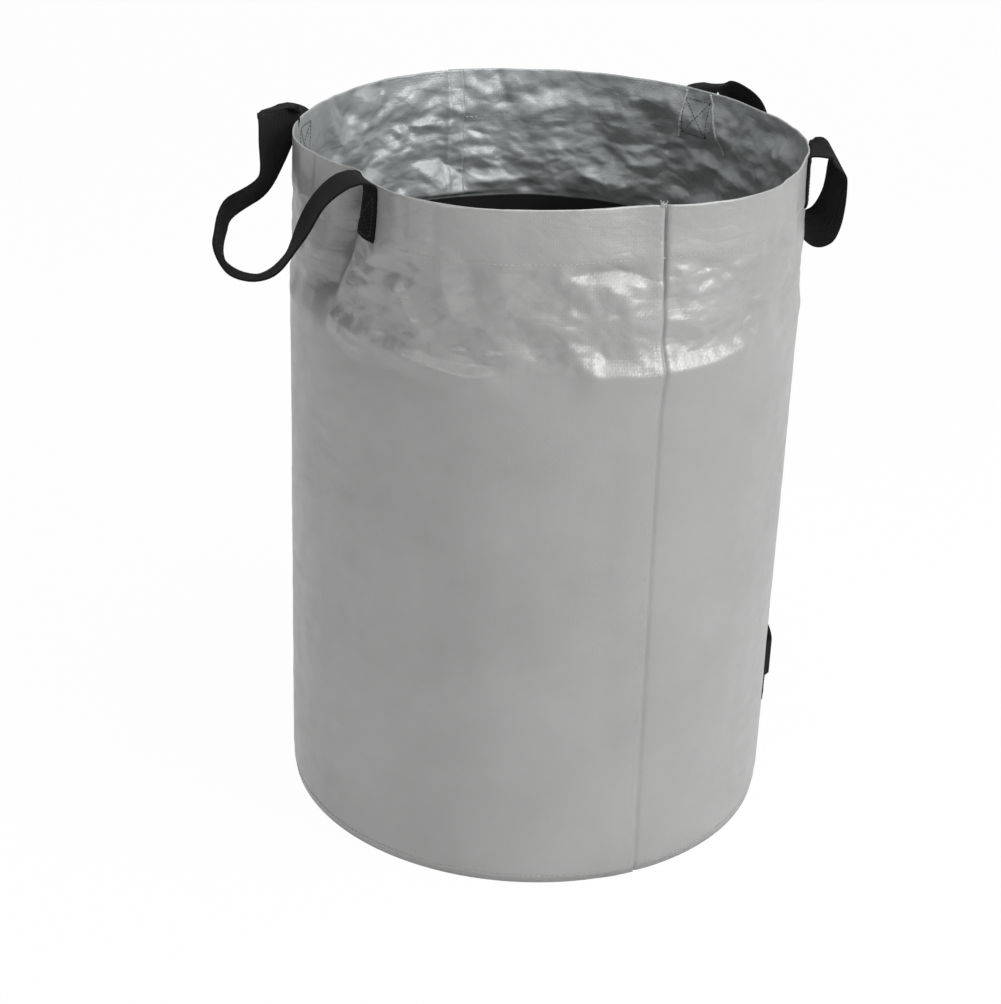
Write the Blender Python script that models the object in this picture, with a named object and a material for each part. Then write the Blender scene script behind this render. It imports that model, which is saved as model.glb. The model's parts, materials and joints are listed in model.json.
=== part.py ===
"""Leaf bag: a standing bag of coated woven cloth with three webbing handles.

Metres, +Z up. The origin is the middle of the base's underside, on the floor.
Angles around the bag are in degrees, from -Y (the front) towards +X (the right).
"""
import math

import bmesh
import bpy
from mathutils import Vector

# Driving dimensions of the bag
BAG_HEIGHT = 0.633
RIM_RADIUS = 0.2275
BODY_RADIUS = 0.229
BASE_RADIUS = 0.227
CLOTH = 0.0012
HEM_DEPTH = 0.047
BASE_TURN_UP = 0.015
BASE_CURVE = 0.020

# The two wall panels, each lapped over the next one at its second side
FRONT_SEAM = 26.0
PANEL_SWEEP = 180.0
WALL_STEP = 4.0
LAP_STEPS = 1
LAP_GAP = 0.0005

# Where the empty rim sags: angle, depth and spread of each soft fold
RIM_FOLDS = (
    (-52.0, 0.019, 12.0),
    (17.0, 0.014, 13.0),
    (115.0, 0.005, 20.0),
    (-108.0, 0.006, 12.0),
    (-153.0, -0.006, 14.0),
)

# The loose stiff sheet that stands rolled up inside
LINER_TOP = 0.508
LINER_SHEET = 0.0012
LINER_SEAM = 90.0
LINER_OVERLAP = 24.0
LINER_CLEARANCE = 0.0008
LINER_FOLLOW = 8.0

# Webbing
WEB_WIDTH = 0.038
WEB_THICK = 0.002
WEB_GAP = 0.0005
SEWN_LENGTH = 0.048
BEND_RADIUS = 0.0016
BEND_RISE = 0.004
BEND_SIDES = 8
NECK_REACH = 0.010
NECK_TURN = 0.002
NECK_START = 0.004
LOOP_LEAVE = 0.008
JOIN_GAP = 0.0003

# Angles of the top handles' sewn ends, front then rear
LEFT_ENDS = (-43.5, -98.3)
RIGHT_ENDS = (86.0, 141.0)

# The low handle, which lies level around the wall
LOW_MIDDLE = 113.0
LOW_HEIGHT = 0.099
LOW_SEWN_FROM = 30.0
LOW_SEWN_TO = 21.0
LOW_TIP = 14.0
LOW_TIP_OUT = 0.014
LOW_SLACK = 0.015
LOW_STEP = 2.0
LOW_STATIONS = 17

# Routes of the two top loops: along the handle, out from it and up.
# A negative first value is measured back from the rear end.
LEFT_ROUTE = (
    (0.001, 0.026, -0.013),
    (0.007, 0.042, -0.045),
    (0.024, 0.057, -0.081),
    (0.055, 0.079, -0.098),
    (0.090, 0.093, -0.088),
    (0.118, 0.081, -0.064),
    (-0.062, 0.052, -0.046),
    (-0.034, 0.032, -0.024),
    (-0.009, 0.022, -0.004),
)
LEFT_LEAN = (
    (1.0, -0.05, 0.0),
    (0.95, -0.2, 0.2),
    (0.8, -0.5, 0.2),
    (0.65, -0.7, -0.25),
    (0.75, -0.35, -0.55),
    (0.75, -0.4, -0.5),
    (0.6, -0.6, -0.5),
    (0.25, -0.9, -0.25),
    (-0.7, -0.68, -0.1),
)
RIGHT_ROUTE = (
    (0.001, 0.016, -0.009),
    (0.007, 0.024, -0.035),
    (0.023, 0.031, -0.067),
    (0.045, 0.035, -0.091),
    (0.080, 0.038, -0.104),
    (-0.086, 0.040, -0.093),
    (-0.054, 0.040, -0.055),
    (-0.028, 0.035, -0.025),
    (-0.010, 0.022, -0.012),
)
RIGHT_LEAN = (
    (1.0, 0.0, 0.1),
    (0.95, 0.0, 0.3),
    (0.8, -0.1, 0.5),
    (0.5, -0.3, 0.8),
    (0.1, -0.4, 0.9),
    (-0.35, -0.4, 0.8),
    (-0.4, -0.3, 0.85),
    (-0.45, -0.15, 0.88),
    (-0.7, 0.1, 0.6),
)
LOOP_STATIONS = 40
UP = Vector((0, 0, 1))

# Heights where the wall's outline changes, from the floor to the rim's round fold
LEDGE = LINER_TOP
SAG_LEVELS = 8
FOLD_TOP = BAG_HEIGHT - 0.002
WALL_LEVELS = (0.0, BASE_CURVE, 0.5 * LEDGE, LEDGE) + tuple(
    LEDGE + (FOLD_TOP - LEDGE) * (level + 1) / SAG_LEVELS for level in range(SAG_LEVELS))


def clear_scene():
    for thing in list(bpy.data.objects):
        bpy.data.objects.remove(thing, do_unlink=True)


def material(name, colour, roughness):
    finish = bpy.data.materials.new(name)
    finish.use_nodes = True
    shader = finish.node_tree.nodes["Principled BSDF"]
    shader.inputs["Base Color"].default_value = (*colour, 1.0)
    shader.inputs["Roughness"].default_value = roughness
    shader.inputs["Metallic"].default_value = 0.0
    finish.diffuse_color = (*colour, 1.0)
    return finish


def add_object(name, shape, finish):
    bmesh.ops.remove_doubles(shape, verts=shape.verts, dist=1e-6)
    bmesh.ops.recalc_face_normals(shape, faces=shape.faces)
    mesh = bpy.data.meshes.new(name)
    shape.to_mesh(mesh)
    shape.free()
    mesh.materials.append(finish)
    mesh.shade_smooth()
    mesh.set_sharp_from_angle(angle=math.radians(35))
    thing = bpy.data.objects.new(name, mesh)
    bpy.context.collection.objects.link(thing)
    return thing


def set_origin(thing, place):
    """Put the object's origin on its joint without moving its shape."""
    for vertex in thing.data.vertices:
        vertex.co -= place
    thing.location = place


def direction(angle):
    turn = math.radians(angle)
    return Vector((math.sin(turn), -math.cos(turn), 0.0))


def rim_radius(angle):
    """The rim's outer radius, with the soft folds of the empty cloth."""
    radius = RIM_RADIUS
    for middle, depth, spread in RIM_FOLDS:
        away = (angle - middle + 180.0) % 360.0 - 180.0
        radius -= depth * math.exp(-(away / spread) ** 2)
    return radius


def smooth_share(value):
    share = min(max(value, 0.0), 1.0)
    return share * share * (3.0 - 2.0 * share)


def wall_radius(angle, height):
    """The wall's outer radius: round on the liner, then easing into the rim's outline."""
    low = BASE_RADIUS + (BODY_RADIUS - BASE_RADIUS) * smooth_share(height / BASE_CURVE)
    share = smooth_share((height - LEDGE) / (BAG_HEIGHT - LEDGE))
    return low + (rim_radius(angle) - low) * share


def between(levels, height):
    """The two neighbouring levels and the share of the way from one to the next."""
    for low, high in zip(levels, levels[1:]):
        if height <= high:
            return low, high, (height - low) / (high - low)
    return levels[-2], levels[-1], 1.0


def on_wall(angle, height, out):
    """A point out from the flat facets that the wall really has between its ribs."""
    step = (angle - FRONT_SEAM) / WALL_STEP
    first = FRONT_SEAM + math.floor(step + 1e-9) * WALL_STEP
    share = (angle - first) / WALL_STEP
    low, high, rise = between(WALL_LEVELS, height)
    place = Vector((0, 0, 0))
    for level, part in ((low, 1.0 - rise), (high, rise)):
        start = direction(first) * wall_radius(first, level)
        end = direction(first + WALL_STEP) * wall_radius(first + WALL_STEP, level)
        place += start.lerp(end, share) * part
    place += direction(angle) * out
    place.z = height
    return place


def wall_section():
    """The wall's closed section: how far in from its outer face, and the height."""
    top = BAG_HEIGHT
    hem_end = BAG_HEIGHT - HEM_DEPTH
    points = [(0.0, level) for level in WALL_LEVELS]
    points.append((CLOTH, top))
    points += [(2 * CLOTH, level) for level in reversed(WALL_LEVELS) if level > hem_end]
    points.append((2 * CLOTH, hem_end))
    points.append((CLOTH, hem_end))
    points += [(CLOTH, level) for level in reversed(WALL_LEVELS) if level < hem_end]
    return points


def wall_panel(name, seam, finish):
    """Half the wall: the section spun round, then shaped to the bag's outline."""
    shape = bmesh.new()
    start = direction(seam - LAP_STEPS * WALL_STEP)
    corners = [shape.verts.new(start * (BODY_RADIUS - inset) + UP * height)
               for inset, height in wall_section()]
    edges = [shape.edges.new((a, b)) for a, b in zip(corners, corners[1:] + corners[:1])]
    sweep = PANEL_SWEEP + LAP_STEPS * WALL_STEP
    bmesh.ops.spin(shape, geom=corners + edges, cent=(0, 0, 0), axis=UP,
                   angle=math.radians(sweep), steps=round(sweep / WALL_STEP))
    rims = [edge for edge in shape.edges if len(edge.link_faces) == 1]
    bmesh.ops.holes_fill(shape, edges=rims, sides=0)
    for corner in shape.verts:
        angle = math.degrees(math.atan2(corner.co.x, -corner.co.y))
        step = round(((angle - seam) % 360.0) / WALL_STEP)
        if step > (sweep + 2 * WALL_STEP) / WALL_STEP:
            step -= round(360.0 / WALL_STEP)
        inset = BODY_RADIUS - math.hypot(corner.co.x, corner.co.y)
        lapped = step >= (PANEL_SWEEP - LAP_STEPS * WALL_STEP) / WALL_STEP - 0.5
        if lapped:
            inset = min(inset, CLOTH) - CLOTH - LAP_GAP
        angle = seam + step * WALL_STEP
        height = corner.co.z
        corner.co = direction(angle) * (wall_radius(angle, height) - inset) + UP * height
    return add_object(name, shape, finish)


def base_panel(finish):
    """The round base with its edge turned up inside the wall."""
    shape = bmesh.new()
    reach = BASE_RADIUS - CLOTH - JOIN_GAP
    section = [(0, 0), (reach, 0), (reach, BASE_TURN_UP), (reach - CLOTH, BASE_TURN_UP),
               (reach - CLOTH, CLOTH), (0, CLOTH)]
    out = direction(FRONT_SEAM)
    corners = [shape.verts.new(out * away + UP * height) for away, height in section]
    edges = [shape.edges.new((a, b)) for a, b in zip(corners, corners[1:])]
    bmesh.ops.spin(shape, geom=corners + edges, cent=(0, 0, 0), axis=UP, use_merge=True,
                   angle=math.tau, steps=round(360.0 / WALL_STEP))
    return add_object("base_panel", shape, finish)


def liner_radius(angle):
    """The tube slides past the rim's hem, and stands inside the wall and the base's edge."""
    past_hem = rim_radius(angle) - 2 * CLOTH
    past_wall = BODY_RADIUS - CLOTH
    past_base = BASE_RADIUS - JOIN_GAP - 2 * CLOTH
    return min(past_hem, past_wall, past_base) - LINER_CLEARANCE


def liner_sheet(finish):
    """A stiff sheet rolled into a tube, its second edge tucked inside the first."""
    shape = bmesh.new()
    start = direction(FRONT_SEAM + LINER_SEAM)
    foot = CLOTH + JOIN_GAP
    section = [(0, foot), (0, LINER_TOP), (LINER_SHEET, LINER_TOP), (LINER_SHEET, foot)]
    corners = [shape.verts.new(start * (1.0 - inset) + UP * height) for inset, height in section]
    edges = [shape.edges.new((a, b)) for a, b in zip(corners, corners[1:] + corners[:1])]
    steps = round((360.0 + LINER_OVERLAP) / WALL_STEP)
    rings = [corners]
    for step in range(steps):
        grown = bmesh.ops.extrude_edge_only(shape, edges=edges)["geom"]
        edges = [item for item in grown if isinstance(item, bmesh.types.BMEdge)]
        rings.append([item for item in grown if isinstance(item, bmesh.types.BMVert)])
    tuck_from = 360.0 - LINER_FOLLOW
    for step, ring in enumerate(rings):
        angle = FRONT_SEAM + LINER_SEAM + step * WALL_STEP
        tuck = smooth_share((step * WALL_STEP - tuck_from) / LINER_FOLLOW)
        outer = liner_radius(angle) - tuck * (LINER_SHEET + LAP_GAP)
        for corner in ring:
            inset = 1.0 - math.hypot(corner.co.x, corner.co.y)
            corner.co = direction(angle) * (outer - inset) + UP * corner.co.z
    rims = [edge for edge in shape.edges if len(edge.link_faces) == 1]
    bmesh.ops.holes_fill(shape, edges=rims, sides=0)
    return add_object("liner_sheet", shape, finish)


def bridge(name, sections, finish):
    """A closed solid through a row of like sections, capped at both ends."""
    shape = bmesh.new()
    loops = []
    for section in sections:
        corners = [shape.verts.new(place) for place in section]
        loops.append([shape.edges.new((a, b)) for a, b in zip(corners, corners[1:] + corners[:1])])
    for first, second in zip(loops, loops[1:]):
        bmesh.ops.bridge_loops(shape, edges=first + second)
    rims = [edge for edge in shape.edges if len(edge.link_faces) == 1]
    bmesh.ops.holes_fill(shape, edges=rims, sides=0)
    return add_object(name, shape, finish)


def bend_axis(ends):
    """The line through both bends of a top handle: its two points."""
    tops = [on_wall(angle, BAG_HEIGHT, WEB_GAP) for angle in ends]
    along = (tops[1] - tops[0]).normalized()
    out = along.cross(UP)
    if out.dot(tops[0]) < 0:
        out = -out
    lift = out * NECK_REACH + UP * BEND_RISE
    return tops[0] + lift, tops[1] + lift


def handle_frame(ends):
    """Start and end of the axis, its direction and the way out from the bag."""
    start, end = bend_axis(ends)
    along = (end - start).normalized()
    out = along.cross(UP)
    if out.dot(start) < 0:
        out = -out
    return start, end, along, out


def end_section(angle, bend):
    """One column of a sewn end: up the wall, over the rim's edge and round the bend."""
    half = WEB_THICK / 2
    top = on_wall(angle, BAG_HEIGHT, WEB_GAP)
    out = Vector((bend.x - top.x, bend.y - top.y, 0)).normalized()
    lowest = BAG_HEIGHT - SEWN_LENGTH
    sewn = [lowest] + [level for level in WALL_LEVELS if level > lowest]
    inner = [on_wall(angle, height, WEB_GAP) for height in sewn]
    outer = [on_wall(angle, height, WEB_GAP + WEB_THICK) for height in sewn]
    level = Vector((top.x, top.y, bend.z)) + out * NECK_TURN
    above = [inner[-1] + UP * NECK_START, level + UP * half]
    below = [level + out * half - UP * half, outer[-1] + UP * (NECK_START - WEB_THICK)]
    join = math.asin(half / BEND_RADIUS)
    turns = [math.pi - join + (2 * join - math.tau) * part / BEND_SIDES
             for part in range(BEND_SIDES + 1)]
    bead = [bend + out * BEND_RADIUS * math.cos(turn) + UP * BEND_RADIUS * math.sin(turn)
            for turn in turns]
    return inner + above + bead + below + list(reversed(outer))


def ribs_across(middle, spread):
    """Angles from one side of a strap to the other, with every rib of the wall between."""
    angles = [middle - spread]
    rib = FRONT_SEAM + math.ceil((angles[0] - FRONT_SEAM) / WALL_STEP) * WALL_STEP
    while rib < middle + spread:
        angles.append(rib)
        rib += WALL_STEP
    return angles + [middle + spread]


def sewn_end(name, ends, which, finish):
    """A handle's sewn end, which follows the cloth and stops at its bend."""
    start, end, along, out = handle_frame(ends)
    middle = ends[which]
    spread = math.degrees(WEB_WIDTH / 2 / on_wall(middle, BAG_HEIGHT, 0).xy.length)
    side = 1.0 if ends[1] > ends[0] else -1.0
    sections = []
    for angle in ribs_across(middle, spread):
        share = side * (angle - middle) / spread
        bend = (start, end)[which] + along * share * WEB_WIDTH / 2
        sections.append(end_section(angle, bend))
    return bridge(name, sections, finish)


def smooth_curve(points, values, count):
    """Samples of a curve through the values, timed by the points that they belong to."""
    spans = [(b - a).length ** 0.5 for a, b in zip(points, points[1:])]
    knots = [0.0]
    for span in spans:
        knots.append(knots[-1] + span)
    ahead = [values[0] * 2 - values[1]] + list(values) + [values[-1] * 2 - values[-2]]
    times = [-spans[0]] + knots + [knots[-1] + spans[-1]]
    samples = []
    for index in range(count):
        time = knots[-1] * index / (count - 1)
        part = max(i for i in range(len(spans)) if knots[i] <= time + 1e-9)
        p = ahead[part:part + 4]
        t = times[part:part + 4]
        a1 = p[0].lerp(p[1], (time - t[0]) / (t[1] - t[0]))
        a2 = p[1].lerp(p[2], (time - t[1]) / (t[2] - t[1]))
        a3 = p[2].lerp(p[3], (time - t[2]) / (t[3] - t[2]))
        b1 = a1.lerp(a2, (time - t[0]) / (t[2] - t[0]))
        b2 = a2.lerp(a3, (time - t[1]) / (t[3] - t[1]))
        samples.append(b1.lerp(b2, (time - t[1]) / (t[2] - t[1])))
    return samples


def top_loop(name, ends, route, lean, finish):
    """A top handle's free loop of flat webbing, from bend to bend."""
    start, end, along, out = handle_frame(ends)
    span = (end - start).length
    leave = BEND_RADIUS + JOIN_GAP
    rows = [(0.0, leave, 0.0), (0.0, leave + LOOP_LEAVE, 0.0)] + list(route)
    rows += [(span, leave + LOOP_LEAVE, 0.0), (span, leave, 0.0)]
    leans = [(1.0, 0.0, 0.0)] * 2 + list(lean) + [(-1.0, 0.0, 0.0)] * 2
    places = []
    for far, away, rise in rows:
        reach = far if far >= 0 else span + far
        places.append(start + along * reach + out * away + UP * rise)
    sides = [along * a + out * b + UP * c for a, b, c in leans]
    line = smooth_curve(places, places, LOOP_STATIONS)
    sides = smooth_curve(places, sides, LOOP_STATIONS)
    sections = []
    for index, place in enumerate(line):
        before = line[max(index - 1, 0)]
        after = line[min(index + 1, LOOP_STATIONS - 1)]
        travel = (after - before).normalized()
        if index == 0:
            travel = out
        if index == LOOP_STATIONS - 1:
            travel = -out
        side = (sides[index] - travel * sides[index].dot(travel)).normalized()
        face = side.cross(travel).normalized()
        wide = side * WEB_WIDTH / 2
        thick = face * WEB_THICK / 2
        sections.append([place - wide - thick, place + wide - thick,
                         place + wide + thick, place - wide + thick])
    thing = bridge(name, sections, finish)
    set_origin(thing, start)
    return thing


def level_strip(name, path, finish):
    """Level webbing standing on edge along pairs of a place and a way out."""
    half = WEB_THICK / 2
    sections = []
    for place, out in path:
        low = place - UP * WEB_WIDTH / 2
        high = place + UP * WEB_WIDTH / 2
        sections.append([low - out * half, high - out * half, high + out * half, low + out * half])
    return bridge(name, sections, finish)


def low_axis():
    """The two tips between which the low loop turns, and the way out."""
    away = BODY_RADIUS + LOW_TIP_OUT
    tips = [direction(LOW_MIDDLE + side * LOW_TIP) * away + UP * LOW_HEIGHT for side in (-1, 1)]
    return tips[0], tips[1], direction(LOW_MIDDLE)


def low_end(name, side, finish):
    """A sewn end of the low handle, which leaves the wall towards its tip."""
    lain = WEB_GAP + WEB_THICK / 2
    steps = round((LOW_SEWN_FROM - LOW_TIP) / LOW_STEP)
    path = []
    for step in range(steps + 1):
        angle = LOW_SEWN_FROM - LOW_STEP * step
        share = max(0.0, (LOW_SEWN_TO - angle) / (LOW_SEWN_TO - LOW_TIP)) ** 2
        away = BODY_RADIUS + lain + (LOW_TIP_OUT - lain) * share
        out = direction(LOW_MIDDLE + side * angle)
        face = direction(LOW_MIDDLE) if step == steps else out
        path.append((out * away + UP * LOW_HEIGHT, face))
    return level_strip(name, path, finish)


def low_loop(finish):
    """The grip of the low handle, a slack bow between its two tips."""
    start, end, out = low_axis()
    along = (end - start).normalized()
    span = (end - start).length
    path = []
    for index in range(LOW_STATIONS):
        share = index / (LOW_STATIONS - 1)
        reach = JOIN_GAP + (span - 2 * JOIN_GAP) * share
        bow = LOW_SLACK * (1.0 - (2.0 * share - 1.0) ** 2)
        path.append((start + along * reach + out * bow, out))
    thing = level_strip("low_handle_loop", path, finish)
    set_origin(thing, start)
    return thing


def build():
    clear_scene()
    grey_cloth = material("grey_cloth", (0.34, 0.345, 0.34), 0.45)
    black_sheet = material("black_sheet", (0.012, 0.012, 0.013), 0.5)
    black_webbing = material("black_webbing", (0.016, 0.016, 0.017), 0.85)
    wall_panel("wall_right_panel", FRONT_SEAM, grey_cloth)
    wall_panel("wall_left_panel", FRONT_SEAM + PANEL_SWEEP, grey_cloth)
    base_panel(grey_cloth)
    liner_sheet(black_sheet)
    for side, ends in (("left", LEFT_ENDS), ("right", RIGHT_ENDS)):
        sewn_end(side + "_handle_front_end", ends, 0, black_webbing)
        sewn_end(side + "_handle_rear_end", ends, 1, black_webbing)
    top_loop("left_handle_loop", LEFT_ENDS, LEFT_ROUTE, LEFT_LEAN, black_webbing)
    top_loop("right_handle_loop", RIGHT_ENDS, RIGHT_ROUTE, RIGHT_LEAN, black_webbing)
    low_end("low_handle_front_end", -1, black_webbing)
    low_end("low_handle_rear_end", 1, black_webbing)
    low_loop(black_webbing)


build()
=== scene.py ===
# %% [markdown]
# # A standing leaf bag
# The bag is an open tube of coated woven cloth with a loose stiff liner and three webbing
# handles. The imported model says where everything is; this file dresses it in real cloth.

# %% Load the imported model
import math

import bmesh
import bpy
from mathutils import Matrix, Vector, noise
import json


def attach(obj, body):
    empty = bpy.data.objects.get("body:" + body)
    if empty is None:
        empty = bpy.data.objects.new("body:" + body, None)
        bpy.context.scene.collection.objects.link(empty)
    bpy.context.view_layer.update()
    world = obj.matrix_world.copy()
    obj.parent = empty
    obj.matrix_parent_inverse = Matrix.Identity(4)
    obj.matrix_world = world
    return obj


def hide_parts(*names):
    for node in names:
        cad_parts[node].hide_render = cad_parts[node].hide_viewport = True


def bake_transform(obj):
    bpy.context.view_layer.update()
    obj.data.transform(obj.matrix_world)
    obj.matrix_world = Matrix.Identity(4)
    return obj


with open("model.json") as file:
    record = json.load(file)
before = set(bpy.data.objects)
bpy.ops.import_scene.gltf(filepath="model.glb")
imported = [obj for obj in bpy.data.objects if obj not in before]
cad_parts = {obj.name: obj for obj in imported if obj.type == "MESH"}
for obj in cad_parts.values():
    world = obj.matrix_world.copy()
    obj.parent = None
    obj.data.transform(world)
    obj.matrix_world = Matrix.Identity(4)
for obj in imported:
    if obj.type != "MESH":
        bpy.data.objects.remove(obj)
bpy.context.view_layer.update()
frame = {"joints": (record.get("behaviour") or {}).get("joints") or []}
HINGES = {joint["name"]: joint for joint in frame["joints"]}
UP = Vector((0, 0, 1))

# %% [markdown]
# ## Camera
# The camera could be placed by eye, but the likeness depends on it. Its place, turn and lens
# were fitted to the bag's rim, base curve and sides, so that the same bag fills the same frame.

# %% Camera
CAMERA_PLACE = Vector((0.0, -1.8768, 1.1622))
CAMERA_SIDE = Vector((0.99893, 0.03272, 0.03256))
CAMERA_UP = Vector((-0.04342, 0.42701, 0.90320))
CAMERA_AHEAD = Vector((-0.01565, 0.90366, -0.42797))
lens = bpy.data.cameras.new("camera")
lens.sensor_fit = "HORIZONTAL"
lens.sensor_width = 36.0
lens.lens = 78.8
camera = bpy.data.objects.new("camera", lens)
camera.matrix_world = Matrix.Translation(CAMERA_PLACE) @ Matrix(
    (CAMERA_SIDE, CAMERA_UP, -CAMERA_AHEAD)).transposed().to_4x4()
bpy.context.scene.collection.objects.link(camera)
bpy.context.scene.camera = camera
print("camera looks down", round(math.degrees(math.asin(-CAMERA_AHEAD.z)), 1), "degrees")

# %% [markdown]
# ## Small helpers
# Angles go round the bag in degrees from the front towards the right, as in the solids.
# A bmesh is turned into an object here, with its normals recalculated so that they point out.

# %% Helpers
def direction(angle):
    turn = math.radians(angle)
    return Vector((math.sin(turn), -math.cos(turn), 0.0))


def smooth_share(value):
    share = min(max(value, 0.0), 1.0)
    return share * share * (3.0 - 2.0 * share)


def turned_from(angle, middle):
    return (angle - middle + 180.0) % 360.0 - 180.0


def hill(away, spread):
    return math.exp(-(away / spread) ** 2)


def add_piece(name, shape, finishes, outward=True):
    if outward:
        bmesh.ops.recalc_face_normals(shape, faces=shape.faces)
    mesh = bpy.data.meshes.new(name)
    shape.to_mesh(mesh)
    shape.free()
    for finish in finishes:
        mesh.materials.append(finish)
    mesh.shade_smooth()
    piece = bpy.data.objects.new(name, mesh)
    bpy.context.scene.collection.objects.link(piece)
    print(name, len(mesh.polygons), "faces")
    return piece


# %% [markdown]
# ## The cloth's finish
# The cloth is woven from flat plastic tapes about 2.5 mm wide and coated, so it has a fine
# square grain, a soft silvery shine and sharp little creases. A picture of cloth would do,
# but nodes keep the grain at its real size on every side of the bag. The grain follows the
# piece's own UV map, laid out in metres, and the creases follow the object's coordinates.

# %% Node helpers
def new_finish(name):
    finish = bpy.data.materials.new(name)
    finish.use_nodes = True
    return finish, finish.node_tree, finish.node_tree.nodes["Principled BSDF"]


def add_node(tree, kind, settings=None, **sockets):
    made = tree.nodes.new("ShaderNode" + kind)
    for key, value in (settings or {}).items():
        setattr(made, key, value)
    for key, value in sockets.items():
        socket = made.inputs[int(key[1:])] if key[0] == "i" and key[1:].isdigit() else made.inputs[key]
        if isinstance(value, bpy.types.NodeSocket):
            tree.links.new(value, socket)
        else:
            socket.default_value = value
    return made


def math_node(tree, operation, first, second=0.0):
    return add_node(tree, "Math", {"operation": operation}, i0=first, i1=second).outputs[0]


def remap(tree, value, low, high, to_low, to_high):
    return add_node(tree, "MapRange", {}, i0=value, i1=low, i2=high, i3=to_low, i4=to_high).outputs[0]


def bump(tree, height, distance, strength, normal=None):
    made = add_node(tree, "Bump", {}, Strength=strength, Distance=distance, Height=height)
    if normal is not None:
        tree.links.new(normal, made.inputs["Normal"])
    return made.outputs[0]


# %% The woven grain and the coated cloth
TAPE = 0.0025


def woven_grain(tree):
    """Height of a plain weave of flat tapes, from the UV map in metres."""
    uv = add_node(tree, "UVMap", {"uv_map": "cloth"}).outputs[0]
    parts = add_node(tree, "SeparateXYZ", {}, i0=uv)
    waves = []
    for output in (parts.outputs[0], parts.outputs[1]):
        turns = math_node(tree, "MULTIPLY", output, math.pi / TAPE)
        waves.append(math_node(tree, "ABSOLUTE", math_node(tree, "SINE", turns)))
    checks = add_node(tree, "TexChecker", {}, Vector=uv, Scale=1.0 / TAPE).outputs["Fac"]
    return add_node(tree, "Mix", {}, i0=checks, i2=waves[0], i3=waves[1]).outputs[0]


def coated_cloth(name, light, dark, roughness):
    finish, tree, shader = new_finish(name)
    place = add_node(tree, "TexCoord").outputs["Object"]
    grain = woven_grain(tree)
    height = add_node(tree, "SeparateXYZ", {}, i0=place).outputs[2]
    loose = remap(tree, height, 0.480, 0.520, 0.12, 1.0)
    flat = add_node(tree, "Mapping", {}, Vector=place, Scale=(1.0, 1.0, 1.7)).outputs[0]
    cells = add_node(tree, "TexVoronoi", {"feature": "DISTANCE_TO_EDGE"}, Vector=flat, Scale=38.0)
    crease = remap(tree, cells.outputs[0], 0.0, 0.16, 0.0, 1.0)
    crumple = add_node(tree, "TexNoise", {}, Vector=flat, Scale=48.0, Detail=5.0, Roughness=0.55)
    crumpled = math_node(tree, "ADD", math_node(tree, "MULTIPLY", crease, 0.22), crumple.outputs[0])
    tall = math_node(tree, "MULTIPLY", crumpled, loose)
    fine = add_node(tree, "TexNoise", {}, Vector=place, Scale=420.0, Detail=2.0).outputs[0]
    first = bump(tree, tall, 0.0016, 0.55)
    second = bump(tree, fine, 0.0002, 0.25, first)
    third = bump(tree, grain, 0.00018, 0.35, second)
    tree.links.new(third, shader.inputs["Normal"])
    cloudy = add_node(tree, "TexNoise", {}, Vector=place, Scale=9.0, Detail=4.0).outputs[0]
    shade = remap(tree, cloudy, 0.32, 0.68, 0.0, 1.0)
    grainy = math_node(tree, "MULTIPLY", remap(tree, grain, 0.0, 1.0, 0.0, 1.0), 0.18)
    mixed = math_node(tree, "ADD", math_node(tree, "MULTIPLY", shade, 0.82), grainy)
    colour = add_node(tree, "Mix", {"data_type": "RGBA"}, i0=mixed, i6=(*dark, 1.0), i7=(*light, 1.0))
    tree.links.new(colour.outputs[2], shader.inputs["Base Color"])
    rough = remap(tree, crumple.outputs[0], 0.3, 0.7, roughness - 0.07, roughness + 0.07)
    tree.links.new(rough, shader.inputs["Roughness"])
    shader.inputs["Metallic"].default_value = 0.25
    return finish


outer_cloth = coated_cloth("grey_coated_cloth", (0.400, 0.405, 0.398), (0.350, 0.355, 0.348), 0.43)
inner_cloth = coated_cloth("grey_cloth_inside", (0.395, 0.412, 0.415), (0.340, 0.355, 0.359), 0.45)
print("cloth grain", TAPE * 1000, "mm")

# %% [markdown]
# ## The webbing's finish
# Webbing is a thick black tape with ribs across it and a few lengthwise yarns. Its UV map
# runs across and along the strap in metres, so the ribs stay square to it in every bend.

# %% Webbing, liner and thread
RIB = 0.0016


def black_webbing():
    finish, tree, shader = new_finish("black_webbing_weave")
    uv = add_node(tree, "UVMap", {"uv_map": "cloth"}).outputs[0]
    parts = add_node(tree, "SeparateXYZ", {}, i0=uv)
    slant = math_node(tree, "ADD", parts.outputs[1], math_node(tree, "MULTIPLY", parts.outputs[0], 0.35))
    ribs = math_node(tree, "ABSOLUTE", math_node(
        tree, "SINE", math_node(tree, "MULTIPLY", slant, math.pi / RIB)))
    yarns = math_node(tree, "ABSOLUTE", math_node(
        tree, "SINE", math_node(tree, "MULTIPLY", parts.outputs[0], math.pi / 0.0032)))
    weave = math_node(tree, "ADD", ribs, math_node(tree, "MULTIPLY", yarns, 0.5))
    fuzz = add_node(tree, "TexNoise", {}, Vector=uv, Scale=900.0, Detail=3.0).outputs[0]
    first = bump(tree, fuzz, 0.0002, 0.4)
    second = bump(tree, weave, 0.0004, 0.7, first)
    tree.links.new(second, shader.inputs["Normal"])
    shade = remap(tree, weave, 0.0, 1.5, 0.0, 1.0)
    colour = add_node(tree, "Mix", {"data_type": "RGBA"}, i0=shade,
                      i6=(0.003, 0.003, 0.003, 1.0), i7=(0.011, 0.011, 0.012, 1.0))
    tree.links.new(colour.outputs[2], shader.inputs["Base Color"])
    shader.inputs["Roughness"].default_value = 0.85
    shader.inputs["Specular IOR Level"].default_value = 0.10
    shader.inputs["Sheen Weight"].default_value = 0.02
    shader.inputs["Sheen Roughness"].default_value = 0.5
    return finish


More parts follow.
